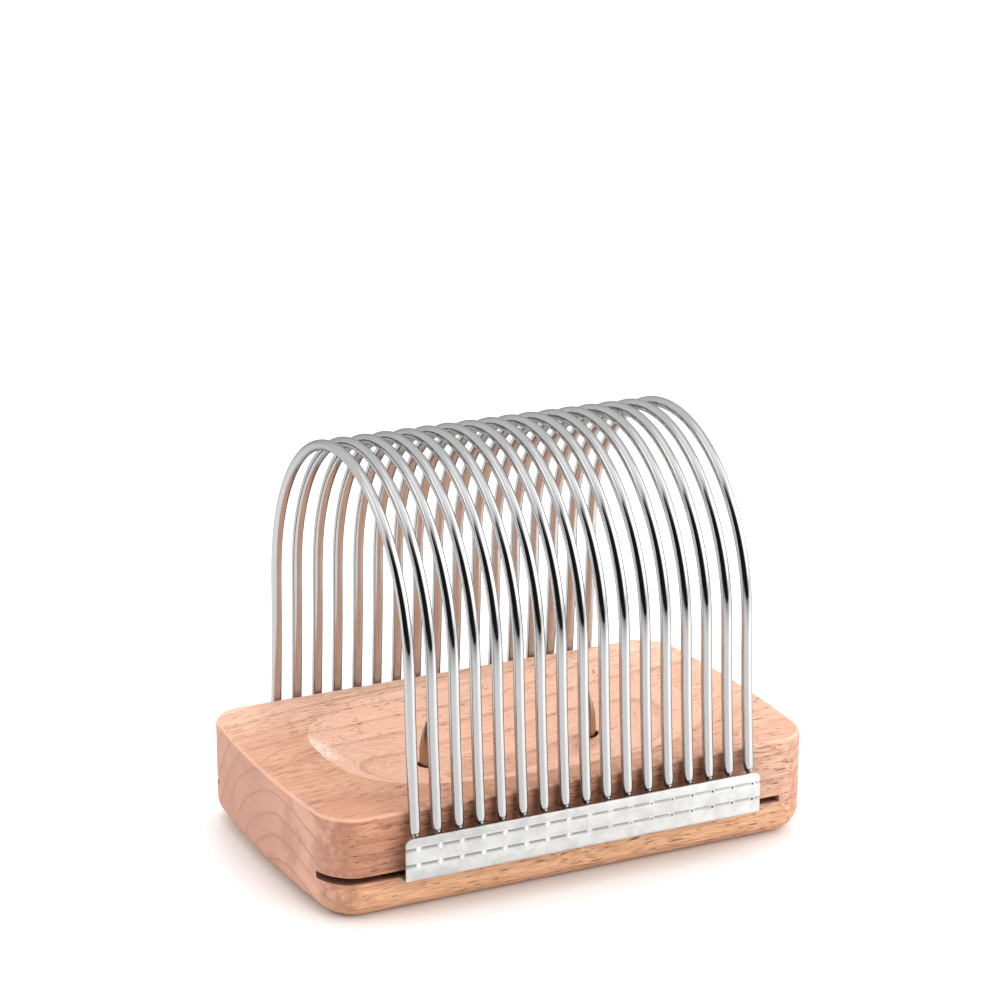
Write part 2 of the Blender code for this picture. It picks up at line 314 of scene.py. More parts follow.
def millimetres(tree):
    return inMillimetres(tree, addNode(tree, "ShaderNodeTexCoord").outputs["Object"])


def facingOf(tree):
    return axesOf(tree, addNode(tree, "ShaderNodeTexCoord").outputs["Normal"])


# Fine lines along X, as drawing, rolling or sanding leaves them
def fineLinesGroup():
    tree, given, result = newGroup("fineLines", "ShaderNodeTree",
                                   {"Place": "Vector", "Line Width": 0.1, "Line Length": 6.0, "Contrast": 1.0},
                                   {"Lines": "Float", "Patches": "Float"})
    axes = axesOf(tree, given["Place"])
    along = calc(tree, "DIVIDE", axes["X"], given["Line Length"])
    across = calc(tree, "DIVIDE", axes["Y"], given["Line Width"])
    upward = calc(tree, "DIVIDE", axes["Z"], given["Line Width"])
    fine = noiseAt(tree, vectorOf(tree, along, across, upward), 1.0, 3.0)[0]
    centred = minus(tree, fine, 0.5)
    tree.links.new(calc(tree, "MULTIPLY_ADD", centred, given["Contrast"], 0.5, clamp=True), result["Lines"])
    patch = noiseAt(tree, given["Place"], 0.08, 2.0)[0]
    tree.links.new(patch, result["Patches"])
    return tree


fineLines = fineLinesGroup()


def linesAlong(tree, place, width, length, contrast):
    return useGroup(tree, fineLines, {"Place": place, "Line Width": width, "Line Length": length,
                                      "Contrast": contrast})


def setFinish(tree, shader, color, rough, height, relief):
    bump = addNode(tree, "ShaderNodeBump", {"Height": height, "Distance": relief, "Strength": 1.0})
    for name, value in (("Base Color", color), ("Roughness", rough), ("Normal", bump.outputs["Normal"])):
        tree.links.new(value, shader.inputs[name])


# The evaluated shape as a plain mesh object. The source, with its modifiers, is removed.
def settled(source, name):
    graph = bpy.context.evaluated_depsgraph_get()
    mesh = bpy.data.meshes.new_from_object(source.evaluated_get(graph), preserve_all_data_layers=True,
                                           depsgraph=graph)
    mesh.name = name
    bpy.data.objects.remove(source, do_unlink=True)
    return newObject(name, mesh)


def roundEdges(source, width, angle):
    made = source.modifiers.new("rounded edges", "BEVEL")
    made.width = width
    made.segments = 2
    made.limit_method = "ANGLE"
    made.angle_limit = math.radians(angle)
    return made


def smoothShaded(made, angle):
    made.data.shade_smooth()
    made.data.set_sharp_from_angle(angle=math.radians(angle))


# Wooden board

boardLow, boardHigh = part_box("wooden_base")
board = {
    "cornerRadius": 0.0104,
    "endBow": 0.0028,
    "sideBow": 0.0002,
    "topRound": 0.0013,
    "bottomRound": 0.0068,
    "dishLength": 0.1124,
    "dishWidth": 0.0728,
    "dishDepth": 0.0104,
    "dishSquareness": 2.7,
    "dishCutReach": 1.12,
    "grooveFloor": 0.0107,
    "grooveDepth": 0.0102,
    "grooveHeight": 0.0019,
    "grooveStop": 0.0623,
    "holeRadius": 0.0024,
    "holeRim": 0.0004,
    "holeRimDepth": 0.0012,
    "holeSpare": 0.0003,         # room under a spike's seat
    "carvedDrop": 0.00005,       # a face this far below the top that looks up at all was carved
    "carvedFacing": 0.3,
    "shadedRims": 1.3,           # how many rims wide the shade about a hole is
    "edgeWear": 0.0002,
    "wearAngle": 28.0,
    "cornerSteps": 20,
    "sideSteps": 24,
    "rimSegments": 6,
    "footSegments": 12,
    "dishSteps": 144,
    "dishRings": 30,
    "holeSteps": 40,
}
halfLength = (boardHigh.x - boardLow.x) / 2
halfWidth = (boardHigh.y - boardLow.y) / 2
boardTop = boardHigh.z


def bowed(x, y):
    endDrop = board["endBow"] * (y / halfWidth) ** 2 * (x / halfLength) ** 4
    sideDrop = board["sideBow"] * (x / halfLength) ** 2 * (y / halfWidth) ** 4
    return Vector((x - math.copysign(endDrop, x), y - math.copysign(sideDrop, y), 0.0))


# The board from above: four corner arcs joined by slightly bowed sides
def boardOutline():
    radius, steps = board["cornerRadius"], board["cornerSteps"]
    arcs = []
    for corner, (sideX, sideY) in enumerate(((1, 1), (-1, 1), (-1, -1), (1, -1))):
        middleX, middleY = sideX * (halfLength - radius), sideY * (halfWidth - radius)
        for step in range(1, steps):
            turn = math.pi / 2 * (corner + step / steps)
            arcs.append((middleX + radius * math.cos(turn), middleY + radius * math.sin(turn)))
    outline = []
    for number, (x, y) in enumerate(arcs):
        outline.append(bowed(x, y))
        if number % (steps - 1) == steps - 2:
            nextX, nextY = arcs[(number + 1) % len(arcs)]
            for step in range(1, board["sideSteps"]):
                share = step / board["sideSteps"]
                outline.append(bowed(x + (nextX - x) * share, y + (nextY - y) * share))
    return outline


def turnedMesh(name, profile, steps):
    mesh = bpy.data.meshes.new(name)
    points = [(radius, 0.0, height) for radius, height in profile]
    mesh.from_pydata(points, [(k, k + 1) for k in range(len(points) - 1)], [])
    source = newObject(name, mesh)
    screw = source.modifiers.new("turn", "SCREW")
    screw.steps = screw.render_steps = steps
    screw.use_merge_vertices = True
    screw.merge_threshold = nearZero
    return settled(source, name)


def dishFloor(reach):
    return boardTop - board["dishDepth"] * (1 - reach ** 2)


# A turned bowl whose round rings are pushed out to the dish's squarish oval
def dishCutter():
    most = board["dishCutReach"]
    lid = dishFloor(most)
    profile = [(0.0, lid), (most, lid)]
    rings = board["dishRings"]
    profile += [(most * ring / rings, dishFloor(most * ring / rings)) for ring in range(rings - 1, -1, -1)]
    cutter = turnedMesh("dishCutter", profile, board["dishSteps"])
    power = 2 / board["dishSquareness"]
    for vert in cutter.data.vertices:
        reach = math.hypot(vert.co.x, vert.co.y)
        if reach > nearZero:
            shareX, shareY = vert.co.x / reach, vert.co.y / reach
            vert.co.x = math.copysign(reach * board["dishLength"] / 2 * abs(shareX) ** power, shareX)
            vert.co.y = math.copysign(reach * board["dishWidth"] / 2 * abs(shareY) ** power, shareY)
    return cutter


def grooveCutter(side):
    past = board["cornerRadius"]
    inner = halfWidth - board["grooveDepth"]
    low = Vector((-halfLength - past, inner, board["grooveFloor"]))
    high = Vector((board["grooveStop"], halfWidth + past, board["grooveFloor"] + board["grooveHeight"]))
    data = bmesh.new()
    shape = Matrix.Translation((low + high) / 2) @ Matrix.Diagonal((*(high - low), 1.0))
    bmesh.ops.create_cube(data, size=1.0, matrix=shape)
    if side < 0:
        bmesh.ops.scale(data, vec=(1.0, -1.0, 1.0), verts=data.verts)
        bmesh.ops.recalc_face_normals(data, faces=data.faces)
    return meshObject("grooveCutter", data)


def holeCutter(spikeNode):
    low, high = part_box(spikeNode)
    middle = (low + high) / 2
    floor = dishFloor(middle.x / (board["dishLength"] / 2))
    hole, rim = board["holeRadius"], board["holeRadius"] + board["holeRim"]
    ledge = floor - board["holeRimDepth"]
    bottom = low.z - board["holeSpare"]
    profile = [(0.0, boardTop), (rim, boardTop), (rim, ledge), (hole, ledge - board["holeRim"]), (hole, bottom)]
    cutter = turnedMesh("holeCutter", profile + [(0.0, bottom)], board["holeSteps"])
    cutter.data.transform(Matrix.Translation((middle.x, 0.0, 0.0)))
    return cutter


def bevelEdges(data, edges, radius, segments):
    bmesh.ops.bevel(data, geom=edges, offset=radius, offset_type="OFFSET", segments=segments, profile=0.5,
                    affect="EDGES")


# Sweeps the one face of the edited mesh by a vector, to a closed solid
def sweepFace(data, face, by):
    swept = bmesh.ops.extrude_face_region(data, geom=[face])["geom"]
    moved = [item for item in swept if isinstance(item, bmesh.types.BMVert)]
    bmesh.ops.translate(data, vec=by, verts=moved)
    bmesh.ops.recalc_face_normals(data, faces=data.faces)


def boardBlank():
    data = bmesh.new()
    base = data.faces.new([data.verts.new(point) for point in boardOutline()])
    sweepFace(data, base, (0.0, 0.0, boardTop))
    for height, radius, segments in ((boardTop, board["topRound"], board["rimSegments"]),
                                     (0.0, board["bottomRound"], board["footSegments"])):
        rim = [edge for edge in data.edges if all(abs(vert.co.z - height) < nearZero for vert in edge.verts)]
        bevelEdges(data, rim, radius, segments)
    return meshObject("boardBlank", data)


# How far out in the dish a point lies: 1 on its rim
def dishReach(point):
    power = board["dishSquareness"]
    shareX, shareY = abs(point.x) / (board["dishLength"] / 2), abs(point.y) / (board["dishWidth"] / 2)
    return (shareX ** power + shareY ** power) ** (1 / power)


# Tells the wood's finish which faces were carved, for their smoother, paler surface, and which lie in a hole,
# for the painted shade there
def markCuts(mesh):
    carved = [boardTop - face.center.z > board["carvedDrop"] and face.normal.z > board["carvedFacing"]
              and dishReach(face.center) < 1.0 for face in mesh.polygons]
    spikeBoxes = [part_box(node) for node in ("spike_left", "spike_right")]
    spikesX = [(low.x + high.x) / 2 for low, high in spikeBoxes]
    reach = board["holeRadius"] + board["holeRim"] * board["shadedRims"]
    sunk = [min(math.hypot(face.center.x - x, face.center.y) for x in spikesX) < reach
            for face in mesh.polygons]
    for name, flags in (("hollow", carved), ("sunk", sunk)):
        values = [float(flag) for flag in flags]
        mesh.attributes.new(name, "FLOAT", "FACE").data.foreach_set("value", values)


def makeBoard(finish):
    blank = boardBlank()
    cutters = [dishCutter(), grooveCutter(-1), grooveCutter(1)]
    cutters += [holeCutter("spike_left"), holeCutter("spike_right")]
    for cutter in cutters:
        cut = blank.modifiers.new("cut", "BOOLEAN")
        cut.operation = "DIFFERENCE"
        cut.object = cutter
    roundEdges(blank, board["edgeWear"], board["wearAngle"]).use_clamp_overlap = False
    made = settled(blank, "wood_board")
    for cutter in cutters:
        bpy.data.objects.remove(cutter, do_unlink=True)
    smoothShaded(made, board["wearAngle"])
    made.data.materials.append(finish)
    markCuts(made.data)
    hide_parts("wooden_base")
    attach(made, "base")


wood = {
    "light": (0.78, 0.42, 0.29),
    "dark": (0.54, 0.255, 0.155),
    "fibre": (0.49, 0.20, 0.11),
    "honey": (0.80, 0.47, 0.28),
    # a paler, yellower tone of the wood's own, with painted light from the right
    "paleLitEnd": (0.99, 0.70, 0.52),   # towards the board's right end
    # painted light on the top at the back, under the arches' shade
    "backPaintedLight": (0.96, 0.625, 0.465),
    "ringLine": (0.50, 0.25, 0.165),
    "pore": (0.24, 0.08, 0.035),
    "carved": (0.90, 0.55, 0.40),
    "lifted": (0.93, 0.80, 0.72),    # fibres lifted by the cutter at the dish's ends
    "endGrain": (0.69, 0.35, 0.265),
    # painted light: the end face lighter towards its front
    "litEndFront": (0.87, 0.50, 0.375),
    # the long sides' own darker grain, deepened with painted shade
    "sideGrainShade": (0.70, 0.33, 0.205),
    "sideStreak": (0.38, 0.155, 0.085),
    "blotch": (0.62, 0.295, 0.215),
    "cornerGrain": (0.47, 0.22, 0.145),
    "lowerEdge": (0.96, 0.56, 0.31),
    # a painted highlight along the rounded upper edge
    "edgeHighlight": (0.95, 0.58, 0.42),
    "cutShadow": (0.10, 0.04, 0.022),
    "pith": (-19.0, -22.0),          # millimetres: the middle of the growth rings, across and up
    "ringSpacing": 6.0,
    "ringShift": 0.1,
    "ringWander": 2.0,
    "grainTurn": 0.17,               # how much the grain turns off the board's length
    # Millimetres between pores along and across the grain, and their share of that
    "longPore": (11.0, 0.80, 0.26),
    "shortPore": (4.2, 0.62, 0.30),
    # Where tones begin and end: millimetres along X, across Y or up Z, and their share at both
    "paleLitEndReach": (-15.0, 68.0),
    # painted light on the top towards the back
    "backPaintedLightReach": (8.0, 42.0, 0.0, 0.8),
    # painted shade along the top's front strip
    "frontShadeReach": (-22.0, -34.0, 0.0, 0.35),
    # painted shade on the long sides, fading out towards the right end
    "sideShadeReach": (35.0, 62.0, 0.8, 0.05),
    "lowerReach": (12.0, 8.0),
    "litEndFrontReach": (5.0, -38.0),
    "liftedReach": (-48.0, -53.0),
    "liftedMiddle": 6.0,
    "edgeHighlightReach": (26.0, 27.0),
    "roughness": 0.56,
    "relief": 0.00016,
}


# The grain leaves the board's length a little towards its back, so its place is turned first
def grainPlace(tree, place):
    axes = axesOf(tree, place)
    turned = smoothStep(tree, axes["Y"], -48.0, 5.0, 0.0, wood["grainTurn"])
    slow = noiseAt(tree, place, 0.018, 1.5)
    sway = axesOf(tree, slow["Color"])
    fromEnd = calc(tree, "ADD", axes["X"], boardHigh.x * mm)
    aside = minus(tree, axes["Y"], times(tree, fromEnd, turned))
    across = timesPlus(tree, minus(tree, sway["X"], 0.5), 9.0, aside)
    upward = timesPlus(tree, minus(tree, sway["Y"], 0.5), 7.0, axes["Z"])
    return vectorOf(tree, axes["X"], across, upward)


# Growth rings about the pith: a late, darker share of each ring and the thin line that closes it
def growthRings(tree, grain):
    wander = noiseAt(tree, stretched(tree, grain, (0.14, 1.0, 1.0)), 0.05, 3.0)[0]
    axes = axesOf(tree, grain)
    aside = minus(tree, axes["Y"], wood["pith"][0])
    above = minus(tree, axes["Z"], wood["pith"][1])
    radius = calc(tree, "SQRT", timesPlus(tree, aside, aside, times(tree, above, above)))
    wandered = timesPlus(tree, minus(tree, wander, 0.5), wood["ringWander"] * 2, radius)
    age = calc(tree, "DIVIDE", minus(tree, wandered, wood["ringShift"]), wood["ringSpacing"])
    phase = calc(tree, "FRACT", age)
    line = times(tree, smoothStep(tree, phase, 0.76, 0.95), smoothStep(tree, phase, 1.0, 0.96))
    return calc(tree, "POWER", phase, 2.2), line


# Short dark pores, each a slim cell of a stretched Voronoi pattern, in crowds
def poreMarks(tree, grain, crowd, along, across, share):
    place = stretched(tree, grain, (1 / along, 1 / across, 1 / across))
    cells = addNode(tree, "ShaderNodeTexVoronoi", {"Vector": place, "Scale": 1.0}).outputs
    own = axesOf(tree, cells["Color"])
    kept = smoothStep(tree, own["X"], minus(tree, 1.0, crowd), minus(tree, 1.25, crowd))
    reach = times(tree, timesPlus(tree, kept, 0.5, 0.5), share)
    inside = smoothStep(tree, calc(tree, "DIVIDE", cells["Distance"], reach), 1.0, 0.5)
    return times(tree, inside, kept)


# Which way the surface faces, from 0 to 1: end is a sawn end, side a long side and corner the round between
def woodSides(tree, facing):
    endFacing = calc(tree, "ABSOLUTE", facing["X"])
    sideFacing = calc(tree, "ABSOLUTE", facing["Y"])
    return {
        "end": smoothStep(tree, endFacing, 0.55, 0.95),
        "side": smoothStep(tree, sideFacing, 0.35, 0.85),
        "corner": smoothStep(tree, times(tree, endFacing, sideFacing), 0.12, 0.42),
        "hollow": addNode(tree, "ShaderNodeAttribute", attribute_name="hollow").outputs["Fac"],
    }


# Long faint streaks, toned by the side and the part of the board that they lie on
def woodTone(tree, place, axes, on, streaks):
    color = mixColor(tree, times(tree, streaks["Lines"], 0.75), wood["light"], wood["dark"])
    color = mixColor(tree, smoothStep(tree, streaks["Patches"], 0.42, 0.66, 0.0, 0.6), color, wood["honey"])
    # Paler towards the right end: partly the wood's own tone, partly painted light from the right, stronger on
    # the long sides
    paleLitShare = timesPlus(tree, on["side"], 0.52, 0.38)
    paleLitShare = times(tree, smoothStep(tree, axes["X"], *wood["paleLitEndReach"]), paleLitShare)
    color = mixColor(tree, paleLitShare, color, wood["paleLitEnd"])
    # Painted light on the top towards the back, where the arches shade it
    color = mixColor(tree, smoothStep(tree, axes["Y"], *wood["backPaintedLightReach"]), color, wood["backPaintedLight"])
    # Painted shade along the top's front strip, for the cage's shadow
    color = mixColor(tree, smoothStep(tree, axes["Y"], *wood["frontShadeReach"]), color, wood["dark"])
    streaked = smoothStep(tree, streaks["Lines"], 0.30, 0.85)
    # The long sides take a darker, streaked tone: their own grain, with painted shade that fades out towards
    # the right end, where light falls
    sideShadeTone = mixColor(tree, streaked, wood["sideGrainShade"], wood["sideStreak"])
    sideShadeShare = times(tree, on["side"], smoothStep(tree, axes["X"], *wood["sideShadeReach"]))
    color = mixColor(tree, sideShadeShare, color, sideShadeTone)
    color = mixColor(tree, times(tree, on["lower"], 0.85), color, wood["lowerEdge"])
    # Painted light: the end face grows lighter towards the front
    towardsFront = smoothStep(tree, axes["Y"], *wood["litEndFrontReach"])
    endTone = mixColor(tree, towardsFront, wood["endGrain"], wood["litEndFront"])
    blotches = noiseAt(tree, place, 0.09, 3.0)[0]
    endTone = mixColor(tree, smoothStep(tree, blotches, 0.42, 0.62, 0.0, 0.85), endTone, wood["blotch"])
    color = mixColor(tree, times(tree, on["end"], 0.85), color, endTone)
    speckle = noiseAt(tree, place, 0.4, 4.0)[0]
    cornerShare = times(tree, on["corner"], smoothStep(tree, speckle, 0.38, 0.62, 0.2, 0.75))
    color = mixColor(tree, cornerShare, color, wood["cornerGrain"])
    paler = mixColor(tree, timesPlus(tree, streaks["Lines"], -0.5, 1.0), color, wood["carved"])
    return mixColor(tree, on["hollow"], color, paler)


# Finer ripples along the grain and the growth rings
def woodFigure(tree, color, on, streaks, fibres, late, line):
    share = timesPlus(tree, on["end"], -0.34, timesPlus(tree, on["side"], 0.1, 0.56))
    share = timesPlus(tree, on["hollow"], -0.31, share)
    color = mixColor(tree, times(tree, fibres["Lines"], share), color, wood["fibre"])
    color = mixColor(tree, times(tree, late, 0.22), color, wood["dark"])
    patchy = smoothStep(tree, streaks["Patches"], 0.25, 0.55)
    lineShare = times(tree, timesPlus(tree, on["end"], 0.15, 0.5), patchy)
    return mixColor(tree, times(tree, line, lineShare), color, wood["ringLine"])


# Fibres lifted where the cutter ran out at the dish's left end, and a painted highlight along the upper edge
def woodEdges(tree, color, axes, facing, on, fibres):
    aside = calc(tree, "ABSOLUTE", minus(tree, axes["Y"], wood["liftedMiddle"]))
    leftEnd = smoothStep(tree, axes["X"], *wood["liftedReach"])
    leftEnd = times(tree, leftEnd, smoothStep(tree, aside, 11.0, 4.0))
    lifted = times(tree, leftEnd, smoothStep(tree, fibres["Lines"], 0.1, 0.6))
    color = mixColor(tree, times(tree, times(tree, on["hollow"], lifted), 0.8), color, wood["lifted"])
    # A painted highlight along the rounded upper edge
    upward = facing["Z"]
    edge = times(tree, smoothStep(tree, upward, 0.2, 0.5), smoothStep(tree, upward, 0.97, 0.8))
    edge = times(tree, edge, smoothStep(tree, axes["Z"], *wood["edgeHighlightReach"]))
    return mixColor(tree, times(tree, edge, 0.5), color, wood["edgeHighlight"])


def woodPores(tree, grain, on, streaks, line):
    crowd = smoothStep(tree, streaks["Patches"], 0.35, 0.62, 0.30, 0.85)
    fewer = timesPlus(tree, on["end"], -0.35, times(tree, on["hollow"], -0.15))
    fewer = timesPlus(tree, on["corner"], -0.45, timesPlus(tree, on["side"], 0.3, fewer))
    fewer = timesPlus(tree, on["lower"], -0.28, fewer)
    crowd = timesPlus(tree, line, 0.4, calc(tree, "ADD", fewer, crowd))
    longPores = poreMarks(tree, grain, crowd, *wood["longPore"])
    shortPores = poreMarks(tree, grain, crowd, *wood["shortPore"])
    return calc(tree, "MAXIMUM", longPores, times(tree, shortPores, 0.8))


# Painted shade in the grooves and the spikes' holes
def cutShade(tree, axes, on):
    floor, stop = board["grooveFloor"] * mm, board["grooveStop"] * mm
    top = floor + board["grooveHeight"] * mm
    inward = smoothStep(tree, calc(tree, "ABSOLUTE", axes["Y"]), halfWidth * mm - 0.2, halfWidth * mm - 2.2)
    overFloor = smoothStep(tree, axes["Z"], floor - 0.1, floor - 0.02)
    underTop = smoothStep(tree, axes["Z"], top + 0.1, top + 0.02)
    grooved = times(tree, inward, times(tree, overFloor, underTop))
    grooved = times(tree, grooved, smoothStep(tree, axes["X"], stop + 0.2, stop + 0.05))
    outside = calc(tree, "MAXIMUM", on["end"], on["corner"])
    grooved = times(tree, grooved, smoothStep(tree, outside, 0.9, 0.6))
    sunk = addNode(tree, "ShaderNodeAttribute", attribute_name="sunk").outputs["Fac"]
    return calc(tree, "MAXIMUM", times(tree, grooved, 0.85), times(tree, sunk, 0.95))


def woodMaterial():
    finish, tree, shader = newMaterial("paleWood", wood["roughness"], 0.0)
    place = millimetres(tree)
    grain = grainPlace(tree, place)
    axes = axesOf(tree, place)
    facing = facingOf(tree)
    on = woodSides(tree, facing)
    on["lower"] = smoothStep(tree, axes["Z"], *wood["lowerReach"])
    late, line = growthRings(tree, grain)
    streaks = linesAlong(tree, grain, 1.1, 24.0, 2.6)
    fibres = linesAlong(tree, grain, 0.5, 6.5, 3.4)
    color = woodTone(tree, place, axes, on, streaks)
    color = woodFigure(tree, color, on, streaks, fibres, late, line)
    color = woodEdges(tree, color, axes, facing, on, fibres)
    pore = woodPores(tree, grain, on, streaks, line)
    color = mixColor(tree, times(tree, pore, timesPlus(tree, on["side"], 0.22, 0.70)), color, wood["pore"])
    color = mixColor(tree, cutShade(tree, axes, on), color, wood["cutShadow"])
    rough = timesPlus(tree, streaks["Lines"], 0.12, wood["roughness"] - 0.06)
    rough = timesPlus(tree, on["hollow"], -0.08, rough)
    height = minus(tree, times(tree, fibres["Lines"], 0.35), pore)
    setFinish(tree, shader, color, rough, height, wood["relief"])
    return finish


makeBoard(woodMaterial())
print("board: carved block with its dish, grooves and spike holes")


# Wire arches

wires = sorted(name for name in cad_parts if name.startswith("wire_arch_"))
firstLow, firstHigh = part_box(wires[0])
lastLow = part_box(wires[-1])[0]
wire = {
    "legLean": 0.0025,
    "legCurve": 1.5,
    "springHeight": 0.0648,
    "legSteps": 40,
    "archSteps": 120,
    "footWidth": 0.55,       # the pressed foot behind the plate, as a share of the wire's width
    "footRound": 0.0026,     # length over which the wire narrows to its foot, above the plate
    "footSteps": 12,
    "sides": 20,
    "tilt": 0.0012,          # radians of random tilt, as hand bending leaves
    "seed": 4,
    "color": (0.56, 0.56, 0.56),
    "edgeTint": (0.45, 0.45, 0.45),
    "roughness": 0.05,
    "innerDull": 0.13,       # added roughness on the inner side, which polishing hardly reaches
    "easeReach": 0.014,      # how far from the leg's top its curve is eased into the bow
    "easeRounds": 30,
    "smoothAngle": 40,
    "relief": 0.000004,
}
wireRadius = (firstHigh.x - firstLow.x) / 2
wirePitch = (lastLow.x - firstLow.x) / (len(wires) - 1)
plateLow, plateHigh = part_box("front_plate")


# Where a leg's middle lies at a height, and its width there as a share of the wire's
def legPoint(height, footY, springY, springZ):
    share = (springZ - height) / (springZ - plateHigh.z)
    above = min(max((height - plateHigh.z) / wire["footRound"], 0.0), 1.0)
    width = wire["footWidth"] + (1 - wire["footWidth"]) * math.sqrt(1 - (1 - above) ** 2)
    middle = springY + wire["legLean"] * share ** wire["legCurve"] if share < 1 else footY
    return Vector((0.0, middle + (1 - width) * wireRadius, height)), width


# One arch from its front foot to its back foot: places and widths
def archPath():
    footY, springZ = firstHigh.y - wireRadius, wire["springHeight"]
    springY = footY - wire["legLean"]
    rise = firstHigh.z - wireRadius - springZ
    roundTop = plateHigh.z + wire["footRound"]
    heights = [firstLow.z]
    footSteps, legSteps = wire["footSteps"], wire["legSteps"]
    heights += [plateHigh.z + wire["footRound"] * (step / footSteps) ** 2 for step in range(footSteps)]
    heights += [roundTop + (springZ - roundTop) * step / legSteps for step in range(legSteps + 1)]
    leg = [legPoint(height, footY, springY, springZ) for height in heights]
    turns = [math.pi * step / wire["archSteps"] for step in range(1, wire["archSteps"])]
    bow = [(Vector((0.0, -springY * math.cos(turn), springZ + rise * math.sin(turn))), 1.0) for turn in turns]
    front = [(Vector((0.0, -point.y, point.z)), width) for point, width in leg]
    return eased(front + bow + leg[::-1], springZ)


# Evens out the bend near the height where the legs meet the bow, so reflections run on smoothly
def eased(path, springZ):
    places = [place for place, width in path]
    nearness = [max(0.0, 1 - abs(place.z - springZ) / wire["easeReach"]) for place in places]
    for _ in range(wire["easeRounds"]):
        middles = [(before + here * 2 + after) / 4
                   for before, here, after in zip(places, places[1:], places[2:])]
        moved = [here.lerp(middle, near)
                 for here, middle, near in zip(places[1:-1], middles, nearness[1:-1])]
        places = [places[0]] + moved + [places[-1]]
    return [(place, width) for place, (was, width) in zip(places, path)]


def rowOfPoints(tree, count, start, step):
    row = addNode(tree, "GeometryNodeMeshLine", {"Count": count, "Start Location": start, "Offset": step},
                  mode="OFFSET", count_mode="TOTAL")
    return row.outputs["Mesh"]


def randomBetween(tree, low, high, seed):
    values = {2: low, 3: high, "Seed": seed}
    return addNode(tree, "FunctionNodeRandomValue", values, data_type="FLOAT").outputs[1]


def wireTree():
    tree, given, result = newGroup("wireCage", "GeometryNodeTree",
                                   {"Geometry": "Geometry", "Wire Count": 17, "Pitch": 0.006,
                                    "Wire Radius": 0.0014, "Sides": 16, "Tilt": 0.0, "Foot Height": 0.0,
                                    "Seed": 0, "Material": "Material"},
                                   {"Geometry": "Geometry"})
    position = addNode(tree, "GeometryNodeSplineParameter").outputs
    path = addNode(tree, "GeometryNodeCaptureAttribute", {"Geometry": given["Geometry"]})
    path.capture_items.new("FLOAT", "Along")
    tree.links.new(position["Length"], path.inputs["Along"])
    ring = addNode(tree, "GeometryNodeCurvePrimitiveCircle",
                   {"Resolution": given["Sides"], "Radius": given["Wire Radius"]})
    around = addNode(tree, "GeometryNodeCaptureAttribute", {"Geometry": ring.outputs["Curve"]})
    around.capture_items.new("FLOAT", "Around")
    tree.links.new(position["Length"], around.inputs["Around"])
    tube = addNode(tree, "GeometryNodeCurveToMesh",
                   {"Curve": path.outputs["Geometry"], "Profile Curve": around.outputs["Geometry"],
                    "Scale": addNode(tree, "GeometryNodeInputRadius").outputs[0], "Fill Caps": True})
    surface = vectorOf(tree, path.outputs["Along"], around.outputs["Around"])
    mapped = addNode(tree, "GeometryNodeStoreNamedAttribute",
                     {"Geometry": tube.outputs["Mesh"], "Name": "wirePlace", "Value": surface},
                     data_type="FLOAT_VECTOR", domain="POINT")
    halfRow = times(tree, minus(tree, given["Wire Count"], 1.0), times(tree, given["Pitch"], -0.5))
    row = rowOfPoints(tree, given["Wire Count"], vectorOf(tree, halfRow), vectorOf(tree, given["Pitch"]))
    placed = addNode(tree, "GeometryNodeInstanceOnPoints",
                     {"Points": row, "Instance": mapped.outputs["Geometry"]})
    lean = randomBetween(tree, -1.0, 1.0, given["Seed"])
    tilt = vectorOf(tree, y=times(tree, lean, given["Tilt"]))
    foot = vectorOf(tree, z=given["Foot Height"])
    leaning = addNode(tree, "GeometryNodeRotateInstances",
                      {"Instances": placed.outputs["Instances"], "Rotation": tilt, "Pivot Point": foot,
                       "Local Space": True})
    real = addNode(tree, "GeometryNodeRealizeInstances", {"Geometry": leaning.outputs["Instances"]})
    coated = addNode(tree, "GeometryNodeSetMaterial",
                     {"Geometry": real.outputs["Geometry"], "Material": given["Material"]})
    tree.links.new(coated.outputs["Geometry"], result["Geometry"])
    return tree


def useTree(source, tree, values):
    modifier = source.modifiers.new(tree.name, "NODES")
    modifier.node_group = tree
    for socket in tree.interface.items_tree:
        if socket.in_out == "INPUT" and socket.name in values:
            modifier[socket.identifier] = values[socket.name]


def makeWires(finish):
    path = archPath()
    curve = bpy.data.curves.new("archPath", "CURVE")
    curve.dimensions = "3D"
    spline = curve.splines.new("POLY")
    spline.points.add(len(path) - 1)
    for point, (place, width) in zip(spline.points, path):
        point.co = (*place, 1.0)
        point.radius = width
    source = newObject("archPath", curve)
    useTree(source, wireTree(), {"Wire Count": len(wires), "Pitch": wirePitch, "Wire Radius": wireRadius,
                                 "Sides": wire["sides"], "Tilt": wire["tilt"], "Foot Height": plateLow.z,
                                 "Seed": wire["seed"], "Material": finish})
    made = settled(source, "wire_arches")
    smoothShaded(made, wire["smoothAngle"])
    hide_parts(*wires)
    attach(made, "cage")


